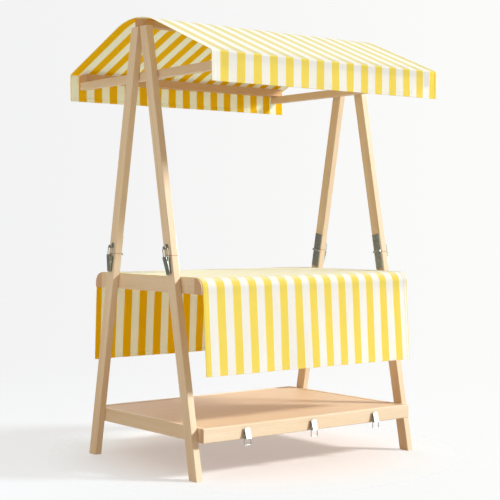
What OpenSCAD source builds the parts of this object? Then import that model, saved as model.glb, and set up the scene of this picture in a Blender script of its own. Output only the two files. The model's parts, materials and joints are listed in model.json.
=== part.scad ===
// Folding wooden market stall: two splayed timber end frames, each leg cut in two
// with a hinge inside and a draw latch outside, a cloth counter, a low goods tray
// and a striped cloth roof over a ridge beam and two eave rails.
// Millimetres, +Z up, front towards -Y, origin on the floor under the middle.

/* [End frames] */
// Distance over the outer faces of the two end frames
frame_len = 1336; // [1100:2:1700]
// Width of a leg, seen from the end of the stall
leg_w = 58; // [45:1:75]
// Thickness of a leg along the stall
leg_t = 36; // [28:1:50]
// Lean of each leg from upright, in degrees
leg_lean = 10.9; // [9:0.1:13]
// Gap between the two legs of a frame at their top cut
leg_top_gap = 11; // [2:1:20]
// Height of the cut where the upper leg meets the lower leg
split_z = 998; // [960:1:1100]
// Chamfer along the edges of legs, rails and boards
edge_ease = 2.5; // [1:0.5:4]

/* [Roof] */
// Height of the top of the ridge beam
ridge_z = 2096; // [1900:1:2300]
// Width of the ridge beam
ridge_w = 58; // [44:1:75]
// Height of the ridge beam
ridge_h = 36; // [28:1:50]
// Depth of the roof from eave to eave, over the rails
eave_depth = 1202; // [1000:2:1500]
// Height of the top of the eave rails
eave_z = 1890; // [1780:1:1960]
// Width of an eave rail
rail_w = 60; // [44:1:80]
// Height of an eave rail
rail_h = 38; // [28:1:50]
// Height of a crossbar that carries the eave rails
crossbar_h = 39; // [30:1:60]
// Thickness of a crossbar
crossbar_t = 34; // [24:1:45]
// Rounding of the upper edges of the ridge beam
ridge_round = 12; // [6:1:16]
// Rounding of the outer upper edge of an eave rail
rail_round = 8; // [4:1:14]
// Radius of the crown that the stiff roof cloth makes over the ridge beam
crown_r = 450; // [200:10:600]
// Length of the roof cloth along the stall
canopy_len = 1374; // [1340:2:1760]
// Drop of the valance below the eave
valance_drop = 135; // [90:1:200]

/* [Counter] */
// Height of the counter top
counter_z = 899; // [840:1:940]
// Depth of the counter
counter_depth = 904; // [800:2:1000]
// Height of the counter's end boards and rails
counter_h = 72; // [62:1:100]
// Thickness of an end board
end_t = 22; // [16:1:30]
// Width of the long counter rails
counter_rail_w = 56; // [54:1:80]
// Rounding of the counter's long upper edges
counter_round = 50; // [30:1:52]
// Thickness of the counter's top board
counter_board_t = 18; // [12:1:24]
// Length of the counter cloth along the stall
cloth_len = 1252; // [1000:2:1256]
// Height of the lower hem of the counter cloth
cloth_hem_z = 464; // [350:1:600]
// Outward flare of the cloth from the counter edge to its hem
cloth_flare = 24; // [10:1:40]

/* [Tray] */
// Height of the top edge of the tray's rails
tray_z = 233; // [200:1:320]
// Height of the tray's rails
tray_h = 65; // [62:1:100]
// Depth of the tray
tray_depth = 932; // [900:2:1000]
// Thickness of the tray's rails
tray_rail_t = 24; // [18:1:34]
// Thickness of the tray's deck
deck_t = 18; // [12:1:24]
// How far the deck lies below the rails' top edge
deck_recess = 2; // [1:0.5:6]
// Width of a batten under the deck
batten_w = 44; // [30:1:70]
// Height of a batten under the deck
batten_h = 30; // [20:1:38]
// Distance of the battens from the middle of the tray
batten_x = 330; // [150:5:450]

/* [Cloth] */
// Thickness of the cloths
cloth_t = 3; // [2:0.5:5]
// Gap between a cloth and the timber that carries it
cloth_gap = 0.3; // [0.2:0.1:0.6]

/* [Hinges] */
// Length of a hinge leaf along the leg
leaf_len = 88; // [50:1:92]
// Width of a hinge leaf across the leg
leaf_w = 50; // [30:1:54]
// Thickness of a hinge leaf
leaf_t = 2.5; // [2:0.5:4]
// Radius of the hinge barrel
barrel_r = 5.5; // [4.5:0.5:8]
// Radius of the hinge pin
hinge_pin_r = 2.5; // [2:0.5:3.5]
// Gap between neighbouring hinge knuckles, and between barrel and wood
knuckle_gap = 0.4; // [0.3:0.1:0.8]

/* [Draw latches] */
// Length of a leg latch's lever from its pivot to its tip
leg_lever_len = 74; // [60:1:84]
// Length of a tray latch's lever from its pivot to its tip
tray_lever_len = 42; // [34:1:52]
// Reach of a leg latch's wire loop past the pivot
leg_loop_reach = 45; // [40:1:60]
// Reach of a tray latch's wire loop past the pivot
tray_loop_reach = 34; // [24:1:50]
// Distance of the leg latch's pivot below the cut in the leg
leg_pivot_drop = 13; // [10:1:20]
// Height of the tray latch's pivot above the rail's lower edge
tray_pivot_rise = 7; // [7:1:14]
// Distance of the outer tray latches from the middle one
tray_latch_pitch = 395; // [200:5:520]
// Width of a lever
lever_w = 30; // [26:1:34]
// Thickness of the latches' sheet metal
sheet_t = 2; // [1.5:0.5:3]
// Height of the pivot above the mounting face
pivot_y = 12; // [11:0.5:16]
// Radius of the pivot pin
pivot_r = 2.5; // [2:0.5:3]
// Distance of the wire loop's eyes from the pivot
eye_back = 14; // [13:1:18]
// Radius of the loop's wire
wire_r = 2; // [1.5:0.5:2.5]
// Bend radius of the loop's wire, to its middle
wire_bend = 3.5; // [3:0.5:6]
// Length of a keeper's plate
keeper_len = 22; // [18:1:30]
// Running clearance of pins and wire eyes in their holes
pin_clear = 0.05; // [0.02:0.01:0.1]

/* [Hidden] */
$fn = 32;

// Sides of the stall and rows of the frame
LEFT = -1;
RIGHT = 1;
FRONT = -1;
BACK = 1;

// End frames: faces along the stall, top cut, and a leg's middle line
outer_x = frame_len / 2;
inner_x = outer_x - leg_t;
ridge_seat_z = ridge_z - ridge_h;
leg_level_w = leg_w / cos(leg_lean);
foot_mid_y = leg_top_gap / 2 + leg_level_w / 2 + ridge_seat_z * tan(leg_lean);
function leg_mid_y(z) = foot_mid_y - z * tan(leg_lean);

// Roof: the cloth's crown rests on the beam's two rounded edges, and its straight
// slopes run from the crown to the rounding of the eave rails
eave_y = eave_depth / 2;
rail_seat_z = eave_z - rail_h;
ridge_bend = [ridge_w / 2 - ridge_round, ridge_z - ridge_round];
crown_mid = [0, ridge_bend[1] - sqrt(pow(crown_r - ridge_round, 2) - pow(ridge_bend[0], 2))];
eave_bend = [eave_y - rail_round, eave_z - rail_round];
bend_run = eave_bend - crown_mid;
roof_slope = asin((crown_r - rail_round) / norm(bend_run)) - atan(bend_run[1] / bend_run[0]);

// Counter and tray: half sizes
counter_y = counter_depth / 2;
counter_low_z = counter_z - counter_h;
cloth_drop_len = counter_z - counter_round - cloth_hem_z;
cloth_splay = atan(cloth_flare / cloth_drop_len);
tray_y = tray_depth / 2;
tray_low_z = tray_z - tray_h;
deck_z = tray_z - deck_recess;
tray_inner_x = inner_x - tray_rail_t;
tray_inner_y = tray_y - tray_rail_t;

// Latches: stacked widths of ears, flanges and wire, and the lever's slope
flange_gap = 0.5;
pin_over = 0.5;
eye_stub = 0.3;
nose_rise = 10;
nose_reach = 6;
flange_ease = 1;
flange_x = lever_w / 2 - sheet_t;
ear_x = flange_x - flange_gap - sheet_t;
wire_x = lever_w / 2 + eye_stub + wire_bend;
ear_r = 5.5;
boss_r = 6;
lever_nose = [pivot_y + nose_rise, nose_reach];
lever_tip_y = 9;
tip_roll_r = 2.2;
plate_over = 6;
hook_in_w = 20;
hook_lip = 12;
hook_gap = 1.5;
loop_seat_gap = 0.3;
leg_pivot_z = split_z - leg_pivot_drop * cos(leg_lean);
tray_pivot_z = tray_low_z + tray_pivot_rise;
tray_latch_x = [-tray_latch_pitch, 0, tray_latch_pitch];

WOOD = [0.87, 0.69, 0.50];
YELLOW = [0.97, 0.80, 0.28];
STEEL = [0.78, 0.80, 0.80];
far = 4000;

// Shared shapes

// Rectangle with chamfered corners, centred
module eased_rect(w, h, ease = edge_ease) {
    a = w / 2;
    b = h / 2;
    polygon([
        [-a + ease, -b], [a - ease, -b], [a, -b + ease], [a, b - ease],
        [a - ease, b], [-a + ease, b], [-a, b - ease], [-a, -b + ease]
    ]);
}

// Extrudes an outline drawn in depth and height along the stall, centred on x
module along_stall(length, x = 0) {
    translate([x - length / 2, 0, 0])
        rotate([90, 0, 90])
            linear_extrude(length)
                children();
}

// Straight timber along the stall, with its middle at [y, z]
module long_bar(length, w, h, y, z) {
    along_stall(length)
        translate([y, z])
            eased_rect(w, h);
}

// Straight timber across the stall, with its middle at [x, z]
module cross_bar(length, w, h, x, z) {
    translate([x, length / 2, z])
        rotate([90, 0, 0])
            linear_extrude(length)
                eased_rect(w, h);
}

// Points of an arc round a centre, both ends included
function arc(c, r, from, to, steps) =
    [for (i = [0 : steps]) let (a = from + (to - from) * i / steps) c + r * [cos(a), sin(a)]];

function reversed(list) = [for (i = [len(list) - 1 : -1 : 0]) list[i]];
function rest_of(list) = [for (i = [1 : len(list) - 1]) list[i]];
function flipped(list) = [for (p = list) [-p[0], p[1]]];

// Closed outline of a bent cloth from its right half, given outside and inside
function cloth_outline(outside, inside) =
    concat(flipped(reversed(rest_of(outside))), outside, reversed(inside), flipped(rest_of(inside)));

// End frames

// One leg between two heights, cut level at both ends
module leg(side, row, low, high) {
    color(WOOD)
        intersection() {
            translate([side * (outer_x - leg_t / 2), row * foot_mid_y, 0])
                rotate([row * leg_lean, 0, 0])
                    translate([0, 0, -leg_w])
                        linear_extrude(ridge_seat_z / cos(leg_lean) + 2 * leg_w)
                            eased_rect(leg_t, leg_w);
            translate([-far / 2, -far / 2, low])
                cube([far, far, high - low]);
        }
}

module lower_leg(side, row) {
    leg(side, row, 0, split_z);
}

// Upper leg, with the ridge beam seated on its top cut
module upper_leg(side, row) {
    leg(side, row, split_z, ridge_seat_z);
}

// Places a drawing on a leg: x across the leg, y out of the face, z up the leg.
// face is the distance of the face from the middle, out is +1 outwards, -1 inwards.
module on_leg(side, row, z, face, out) {
    translate([side * face, row * leg_mid_y(z), z])
        rotate([row * leg_lean, 0, 0])
            rotate([0, 0, -90 * side * out])
                children();
}

// Hinges

// Knuckles of one leaf, as spans across the leg
leaf_third = leaf_w / 3;
OUTER_KNUCKLES = [[-leaf_w / 2, -leaf_third / 2 - knuckle_gap / 2],
                  [leaf_third / 2 + knuckle_gap / 2, leaf_w / 2]];
INNER_KNUCKLES = [[-leaf_third / 2 + knuckle_gap / 2, leaf_third / 2 - knuckle_gap / 2]];

// One leaf with its knuckles: up is +1 for the upper leaf, -1 for the lower
module hinge_leaf(up, knuckles) {
    barrel_y = barrel_r + knuckle_gap;
    leaf_start = barrel_r + knuckle_gap;
    difference() {
        union() {
            translate([-leaf_w / 2, 0, up > 0 ? leaf_start : -leaf_len])
                cube([leaf_w, leaf_t, leaf_len - leaf_start]);
            for (k = knuckles) {
                translate([k[0], barrel_y, 0])
                    rotate([0, 90, 0])
                        cylinder(r = barrel_r, h = k[1] - k[0]);
                translate([k[0], knuckle_gap, up > 0 ? 0 : -leaf_start - leaf_t])
                    cube([k[1] - k[0], leaf_t, leaf_start + leaf_t]);
            }
        }
        translate([-leaf_w, barrel_y, 0])
            rotate([0, 90, 0])
                cylinder(r = hinge_pin_r + pin_clear, h = 2 * leaf_w);
    }
}

module hinge() {
    color(STEEL) {
        hinge_leaf(1, OUTER_KNUCKLES);
        hinge_leaf(-1, INNER_KNUCKLES);
        translate([-leaf_w / 2, barrel_r + knuckle_gap, 0])
            rotate([0, 90, 0])
                cylinder(r = hinge_pin_r, h = leaf_w);
    }
}

module hinges(side) {
    for (row = [FRONT, BACK])
        on_leg(side, row, split_z, inner_x, -1)
            hinge();
}

// Roof

// Ridge beam with rounded upper edges
module ridge_beam() {
    color(WOOD)
        along_stall(frame_len)
            polygon(concat(
                [[-ridge_w / 2, ridge_seat_z], [ridge_w / 2, ridge_seat_z]],
                arc(ridge_bend, ridge_round, 0, 90, 4),
                arc([-ridge_bend[0], ridge_bend[1]], ridge_round, 90, 180, 4)
            ));
}

// Crossbar on the inner faces of a frame's legs, under the eave rails
module crossbar(side) {
    color(WOOD)
        cross_bar(eave_depth, crossbar_t, crossbar_h,
                  side * (inner_x - crossbar_t / 2), rail_seat_z - crossbar_h / 2);
}

// Eave rail with a rounded outer upper edge, lying on both crossbars
module eave_rail(row) {
    color(WOOD)
        along_stall(2 * inner_x)
            polygon(concat(
                [[row * (eave_y - rail_w), rail_seat_z], [row * eave_y, rail_seat_z]],
                [for (p = arc(eave_bend, rail_round, 0, 90, 4)) [row * p[0], p[1]]],
                [[row * (eave_y - rail_w), eave_z]]
            ));
}

// Right half of the roof cloth at a distance over the timber, ridge to hem
function roof_line(over) = concat(
    arc(crown_mid, crown_r + over, 90, 90 - roof_slope, 8),
    arc(eave_bend, rail_round + over, 90 - roof_slope, 0, 5),
    [[eave_y + over, eave_z - valance_drop]]
);

module canopy() {
    color(YELLOW)
        along_stall(canopy_len)
            polygon(cloth_outline(roof_line(cloth_gap + cloth_t), roof_line(cloth_gap)));
}

// Counter

// End board between the long rails, on the inner faces of a frame's legs
module counter_end(side) {
    reach = counter_y - counter_rail_w;
    color(WOOD)
        along_stall(end_t, side * (inner_x - end_t / 2))
            polygon([[-reach, counter_low_z], [reach, counter_low_z], [reach, counter_z], [-reach, counter_z]]);
}

// Long rail with a rounded outer upper edge, as long as the counter
module counter_rail(row) {
    bend = [counter_y - counter_round, counter_z - counter_round];
    color(WOOD)
        along_stall(2 * inner_x)
            polygon(concat(
                [[row * (counter_y - counter_rail_w), counter_low_z], [row * counter_y, counter_low_z]],
                [for (p = arc(bend, counter_round, 0, 90, 8)) [row * p[0], p[1]]],
                [[row * (counter_y - counter_rail_w), counter_z]]
            ));
}

module counter_board() {
    color(WOOD)
        translate([-inner_x + end_t, -counter_y + counter_rail_w, counter_z - counter_board_t])
            cube([2 * (inner_x - end_t), 2 * (counter_y - counter_rail_w), counter_board_t]);
}

// Right half of the counter cloth at a distance over the counter, middle to hem
function counter_line(over) =
    let (bend = [counter_y - counter_round, counter_z - counter_round],
         r = counter_round + over,
         edge = bend + r * [cos(cloth_splay), sin(cloth_splay)])
    concat(
        [[0, counter_z + over]],
        arc(bend, r, 90, cloth_splay, 8),
        [[edge[0] + tan(cloth_splay) * (edge[1] - cloth_hem_z), cloth_hem_z]]
    );

module counter_cloth() {
    color(YELLOW)
        along_stall(cloth_len)
            polygon(cloth_outline(counter_line(cloth_gap + cloth_t), counter_line(cloth_gap)));
}

// Tray

module tray_long_rail(row) {
    color(WOOD)
        long_bar(2 * inner_x, tray_rail_t, tray_h, row * (tray_y - tray_rail_t / 2), tray_z - tray_h / 2);
}

module tray_end_rail(side) {
    color(WOOD)
        cross_bar(2 * tray_inner_y, tray_rail_t, tray_h,
                  side * (inner_x - tray_rail_t / 2), tray_z - tray_h / 2);
}

module tray_deck() {
    color(WOOD)
        translate([-tray_inner_x, -tray_inner_y, deck_z - deck_t])
            cube([2 * tray_inner_x, 2 * tray_inner_y, deck_t]);
}

module tray_battens() {
    for (x = [-batten_x, batten_x])
        color(WOOD)
            cross_bar(2 * tray_inner_y, batten_w, batten_h, x, deck_z - deck_t - batten_h / 2);
}

// Draw latches, drawn with x across, y out of the face, z towards the keeper,
// and the lever's pivot at [0, pivot_y, 0]

// Cylinder along x, centred, through the point [y, z]
module across(r, length, y, z) {
    translate([-length / 2, y, z])
        rotate([0, 90, 0])
            cylinder(r = r, h = length);
}

// Extrudes an outline drawn in y and z over a span of x, centred on x
module sheet_across(width, x = 0) {
    translate([x - width / 2, 0, 0])
        rotate([90, 0, 90])
            linear_extrude(width)
                children();
}

// Mounting plate with two ears and the pivot pin
module latch_plate(lever_len) {
    color(STEEL) {
        translate([-ear_x - sheet_t, 0, plate_over - lever_len])
            cube([2 * (ear_x + sheet_t), sheet_t, lever_len]);
        for (s = [-1, 1])
            sheet_across(sheet_t, s * (ear_x + sheet_t / 2))
                union() {
                    translate([pivot_y, 0])
                        circle(r = ear_r);
                    translate([0, -ear_r])
                        square([pivot_y, 2 * ear_r]);
                }
        across(pivot_r, lever_w + 2 * pin_over, pivot_y, 0);
    }
}

// Channel-shaped lever: a sloping face plate, two flanges and a rolled tip
module lever(lever_len) {
    tip = [lever_tip_y, -lever_len];
    slope = (lever_nose[0] - tip[0]) / (lever_nose[1] - tip[1]);
    inset = sheet_t * sqrt(1 + slope * slope);
    flange_end = -lever_len + 2 * boss_r;
    face = [lever_nose, tip, [tip[0] - inset, tip[1]], [lever_nose[0] - inset, lever_nose[1]]];
    flange = [
        [pivot_y - boss_r, 0],
        [lever_nose[0] - inset / 2, lever_nose[1]],
        [lever_nose[0] - inset / 2 + slope * (flange_end - lever_nose[1]), flange_end],
        [lever_tip_y - inset / 2, flange_end],
        [pivot_y - boss_r + flange_ease, -eye_back - boss_r]
    ];
    color(STEEL)
        difference() {
            union() {
                sheet_across(lever_w)
                    polygon(face);
                across(tip_roll_r, lever_w, lever_tip_y - tip_roll_r / 2, -lever_len);
                for (s = [-1, 1])
                    sheet_across(sheet_t, s * (flange_x + sheet_t / 2))
                        union() {
                            polygon(flange);
                            translate([pivot_y, 0])
                                circle(r = boss_r);
                        }
            }
            across(pivot_r + pin_clear, 2 * lever_w, pivot_y, 0);
            across(wire_r + pin_clear, 2 * lever_w, pivot_y, -eye_back);
        }
}

// Quarter bend of the loop's wire, from +x to +z about its corner's centre
module wire_corner(x, z, turn) {
    translate([x, pivot_y, z])
        rotate([90, turn, 0])
            rotate_extrude(angle = 90)
                translate([wire_bend, 0])
                    circle(r = wire_r);
}

// Wire loop: two eyes in the lever's flanges, two sides and a crossbar
module loop(reach) {
    bend_x = wire_x - wire_bend;
    side_low = -eye_back + wire_bend;
    side_high = reach - wire_bend;
    color(STEEL) {
        for (s = [-1, 1]) {
            translate([s > 0 ? flange_x : -bend_x, pivot_y, -eye_back])
                rotate([0, 90, 0])
                    cylinder(r = wire_r, h = bend_x - flange_x);
            translate([s * wire_x, pivot_y, side_low])
                cylinder(r = wire_r, h = side_high - side_low);
            wire_corner(s * bend_x, side_low, s > 0 ? 90 : 180);
            wire_corner(s * bend_x, side_high, s > 0 ? 0 : 270);
        }
        across(wire_r, 2 * bend_x, pivot_y, reach);
    }
}

// Keeper: a plate with a hook that holds the loop's crossbar
module keeper(reach) {
    floor_z = reach - wire_r - loop_seat_gap;
    lip_y = pivot_y + wire_r + hook_gap;
    color(STEEL)
        sheet_across(hook_in_w)
            polygon([
                [0, floor_z - sheet_t], [lip_y + sheet_t, floor_z - sheet_t],
                [lip_y + sheet_t, floor_z + hook_lip], [lip_y, floor_z + hook_lip],
                [lip_y, floor_z], [sheet_t, floor_z],
                [sheet_t, floor_z + keeper_len], [0, floor_z + keeper_len]
            ]);
}

// Places a latch drawing on the outer face of a leg
module leg_latch(side, row) {
    on_leg(side, row, leg_pivot_z, outer_x, 1)
        children();
}

// Places a latch drawing on the tray's front rail, its keeper side down
module tray_latch(i) {
    translate([tray_latch_x[i], -tray_y, tray_pivot_z])
        rotate([180, 0, 0])
            children();
}

module leg_latch_plates() {
    for (side = [LEFT, RIGHT])
        for (row = [FRONT, BACK])
            leg_latch(side, row) {
                latch_plate(leg_lever_len);
                keeper(leg_loop_reach);
            }
}

module tray_latch_plates() {
    for (i = [0 : 2])
        tray_latch(i)
            latch_plate(tray_lever_len);
}

// What each node holds

lower_leg(LEFT, FRONT);  // front_left_lower_leg
lower_leg(LEFT, BACK);  // back_left_lower_leg
lower_leg(RIGHT, FRONT);  // front_right_lower_leg
lower_leg(RIGHT, BACK);  // back_right_lower_leg
upper_leg(LEFT, FRONT);  // front_left_upper_leg
upper_leg(LEFT, BACK);  // back_left_upper_leg
upper_leg(RIGHT, FRONT);  // front_right_upper_leg
upper_leg(RIGHT, BACK);  // back_right_upper_leg
hinges(LEFT);  // left_hinges
hinges(RIGHT);  // right_hinges
ridge_beam();
crossbar(LEFT);  // left_crossbar
crossbar(RIGHT);  // right_crossbar
eave_rail(FRONT);  // front_eave_rail
eave_rail(BACK);  // back_eave_rail
canopy();
counter_end(LEFT);  // left_counter_end
counter_end(RIGHT);  // right_counter_end
counter_rail(FRONT);  // counter_front_rail
counter_rail(BACK);  // counter_back_rail
counter_board();
counter_cloth();
tray_long_rail(FRONT);  // tray_front_rail
tray_long_rail(BACK);  // tray_back_rail
tray_end_rail(LEFT);  // tray_left_rail
tray_end_rail(RIGHT);  // tray_right_rail
tray_deck();
tray_battens();
leg_latch_plates();
tray_latch_plates();
leg_latch(LEFT, FRONT) lever(leg_lever_len);  // front_left_lever
leg_latch(LEFT, BACK) lever(leg_lever_len);  // back_left_lever
leg_latch(RIGHT, FRONT) lever(leg_lever_len);  // front_right_lever
leg_latch(RIGHT, BACK) lever(leg_lever_len);  // back_right_lever
tray_latch(0) lever(tray_lever_len);  // tray_left_lever
tray_latch(1) lever(tray_lever_len);  // tray_middle_lever
tray_latch(2) lever(tray_lever_len);  // tray_right_lever
leg_latch(LEFT, FRONT) loop(leg_loop_reach);  // front_left_loop
leg_latch(LEFT, BACK) loop(leg_loop_reach);  // back_left_loop
leg_latch(RIGHT, FRONT) loop(leg_loop_reach);  // front_right_loop
leg_latch(RIGHT, BACK) loop(leg_loop_reach);  // back_right_loop
tray_latch(0) loop(tray_loop_reach);  // tray_left_loop
tray_latch(1) loop(tray_loop_reach);  // tray_middle_loop
tray_latch(2) loop(tray_loop_reach);  // tray_right_loop
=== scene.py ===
# %% [markdown]
# # A folding market stall with striped cloths
# Two splayed timber frames carry a roof cloth, a counter and a low tray with draw latches. The timber and
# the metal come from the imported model, and here they only get their finish. The two cloths, their sewing
# and the screws are new pieces, worked out with numpy from the boxes of the model's own nodes.

import json
import math

import bpy
import numpy as np
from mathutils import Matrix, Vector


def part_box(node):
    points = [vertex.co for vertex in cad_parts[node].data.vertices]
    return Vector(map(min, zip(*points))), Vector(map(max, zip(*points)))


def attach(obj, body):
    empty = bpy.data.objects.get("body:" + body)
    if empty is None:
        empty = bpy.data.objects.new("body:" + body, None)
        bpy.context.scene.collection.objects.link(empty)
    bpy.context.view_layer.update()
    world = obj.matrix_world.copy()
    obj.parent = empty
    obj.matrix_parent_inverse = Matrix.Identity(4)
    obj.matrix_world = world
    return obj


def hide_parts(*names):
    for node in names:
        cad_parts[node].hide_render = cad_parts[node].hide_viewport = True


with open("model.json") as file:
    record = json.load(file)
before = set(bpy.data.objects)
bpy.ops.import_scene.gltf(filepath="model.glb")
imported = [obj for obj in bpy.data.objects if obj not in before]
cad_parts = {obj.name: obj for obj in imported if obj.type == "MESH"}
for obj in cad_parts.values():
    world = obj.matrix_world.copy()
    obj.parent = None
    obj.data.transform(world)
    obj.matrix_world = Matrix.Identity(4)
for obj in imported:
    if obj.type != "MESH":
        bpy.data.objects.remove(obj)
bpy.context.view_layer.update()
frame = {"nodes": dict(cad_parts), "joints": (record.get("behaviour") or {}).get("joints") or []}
nodes = frame["nodes"]
joints = {joint["name"]: joint for joint in frame["joints"]}

# %% [markdown]
# ## Camera
# The view is from the front left, from a little above the counter's height. A long lens keeps the stall's
# upright lines nearly parallel. A camera could be aimed at a target object, but its place and its turn were
# fitted to the corners of the stall, so they are a few plain numbers.

# %% Camera
QUARTER = math.pi / 2
EYE = (-3.931954, -5.074754, 1.148902)
LOOK_DOWN = math.radians(1.246)
LOOK_RIGHT = math.radians(37.675)
LENS_MM = 92.646
SENSOR_MM = 36.0


def placed(name, data):
    """A new object for some data, linked into the scene."""
    thing = bpy.data.objects.new(name, data)
    bpy.context.scene.collection.objects.link(thing)
    return thing


camera_data = bpy.data.cameras.new("camera")
camera_data.lens = LENS_MM
camera_data.sensor_width = SENSOR_MM
camera = placed("camera", camera_data)
camera.location = EYE
camera.rotation_euler = (QUARTER - LOOK_DOWN, 0.0, -LOOK_RIGHT)
bpy.context.scene.camera = camera
print("camera at", EYE, "with a lens of", LENS_MM, "mm")

# %% [markdown]
# ## Shader arithmetic
# The finish of timber or cloth is a sum of patterns, and a sum reads best as a formula. One small class wraps
# a socket, so that plus, minus and times on sockets add Math nodes. Its method node() adds any other kind.

# %% Sockets that can be reckoned with
class Wire:
    """An output socket in a tree of nodes; arithmetic on it adds Math nodes to the tree."""

    def __init__(self, tree, socket=None):
        self.tree = tree
        self.socket = socket

    def node(self, kind, inputs=None, out=0, **settings):
        """Adds a node: its settings first, then the values or links of its sockets."""
        made = self.tree.nodes.new(kind)
        for name, value in settings.items():
            setattr(made, name, value)
        for key, value in (inputs or {}).items():
            if isinstance(value, Wire):
                self.tree.links.new(value.socket, made.inputs[key])
            else:
                made.inputs[key].default_value = value
        return Wire(self.tree, made.outputs[out] if made.outputs else None)

    def also(self, out):
        """Another output of the node that this wire comes from."""
        return Wire(self.tree, self.socket.node.outputs[out])

    def math(self, operation, *others):
        """A Math node on this wire and then on other numbers or wires."""
        return self.node("ShaderNodeMath", dict(enumerate((self, *others))), operation=operation)

    def __add__(self, other):
        return self.math("ADD", other)

    def __sub__(self, other):
        return self.math("SUBTRACT", other)

    def __rsub__(self, other):
        return self.node("ShaderNodeMath", {0: other, 1: self}, operation="SUBTRACT")

    def __mul__(self, other):
        return self.math("MULTIPLY", other)

    def __truediv__(self, other):
        return self.math("DIVIDE", other)

    def __mod__(self, other):
        return self.math("FLOORED_MODULO", other)

    def __abs__(self):
        return self.math("ABSOLUTE")

    __radd__ = __add__
    __rmul__ = __mul__

    def rise(self, low, high):
        """Smooth step from 0 at low to 1 at high."""
        sockets = {"Value": self, "From Min": low, "From Max": high}
        return self.node("ShaderNodeMapRange", sockets, interpolation_type="SMOOTHSTEP")

    def mix(self, first, second):
        """Colour between first and second, by this wire as the factor."""
        return self.node("ShaderNodeMix", {0: self, 6: first, 7: second}, out=2, data_type="RGBA")

    def times(self, factors):
        """This vector, with each of its three parts multiplied."""
        return self.node("ShaderNodeVectorMath", {0: self, 1: factors}, operation="MULTIPLY")

    def toward(self, axis):
        """How far this vector reaches along an axis."""
        return self.node("ShaderNodeVectorMath", {0: self, 1: axis}, out="Value", operation="DOT_PRODUCT")

    def noise(self, detail=2.0, rough=0.5):
        """Noise from about 0 to 1 in space stretched beforehand, one bump a unit."""
        sockets = {"Vector": self, "Scale": 1.0, "Detail": detail, "Roughness": rough}
        return self.node("ShaderNodeTexNoise", sockets)

    def split(self):
        """The three parts of this vector."""
        first = self.node("ShaderNodeSeparateXYZ", {0: self})
        return first, first.also(1), first.also(2)


def paint(red, green, blue):
    """A colour as seen on a screen, 0 to 255, as the linear values that sockets hold."""
    share = np.array([red, green, blue]) / 255.0
    linear = np.where(share <= 0.04045, share / 12.92, ((share + 0.055) / 1.055) ** 2.4)
    return (*linear.tolist(), 1.0)


def new_finish(name):
    """An empty material, and a wire in its tree to add nodes from."""
    material = bpy.data.materials.new(name)
    material.use_nodes = True
    material.node_tree.nodes.clear()
    return material, Wire(material.node_tree)


def close_finish(pen, sockets):
    """Ends a material in one Principled surface with these sockets."""
    surface = pen.node("ShaderNodeBsdfPrincipled", sockets)
    pen.node("ShaderNodeOutputMaterial", {"Surface": surface})


print("shader helper ready")

# %% [markdown]
# ## Planed timber
# The frames are pale, clear softwood, planed and lightly oiled. Its look is growth rings that run as long
# lines down each piece, finer fibres between them, and darker end grain where a piece is cut across. The
# boards are browner with age than the legs, and the beam and rails under the roof are painted browner,
# a painted shade for the shadow under the roof. An image would stretch on long pieces, so the pattern is
# worked out in space, turned so that the grain runs along each piece.

# %% Timber finish
LEG_LEAN = math.radians(10.9)
LEG_CUT_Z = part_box("front_left_lower_leg")[1].z
CUT_EDGE = (0.0008, 0.0030)
RING_PITCH = 0.0055
BOARD_RING_PITCH = 0.0130
RING_WANDER = 0.035
STRIP_SHIFT = 0.4
LATE_GROWTH = (0.35, 0.92)
WINTER_STOP = (0.93, 1.0)
FAINT_RING = 0.35
PALE_WOOD = paint(238, 220, 194)
WARM_WOOD = paint(231, 208, 177)
LATE_WOOD = paint(210, 167, 122)
FIBRE_WOOD = paint(186, 142, 100)
END_WOOD = paint(196, 148, 110)

# Bumps of each noise in a metre, along the grain and across it both ways
WANDER_BUMPS = (1.1, 6.0, 6.0)
TONE_BUMPS = (0.8, 8.0, 8.0)
FAINT_BUMPS = (0.7, 26.0, 26.0)
FIBRE_BUMPS = (9.0, 420.0, 420.0)
FLECK_BUMPS = (70.0, 1100.0, 1100.0)

# Where each noise, or the surface's facing, begins to show and where it shows in full
TONE_RANGE = (0.3, 0.7)
FAINT_RANGE = (0.36, 0.62)
FIBRE_RANGE = (0.45, 0.8)
FLECK_RANGE = (0.64, 0.74)
END_FACING = (0.75, 0.95)

# How much of the tone beneath it each part of the pattern covers
RING_SHARE = 0.42
BOARD_RING_SHARE = 0.60
FIBRE_SHARE = 0.22
FLECK_SHARE = 0.16
END_SHARE = 0.65
CUT_SHARE = 0.75


def between(first, second, share):
    """The colour first + (second - first) * share."""
    start = np.array(first)
    return tuple((start + (np.array(second) - start) * share).tolist())


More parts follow.
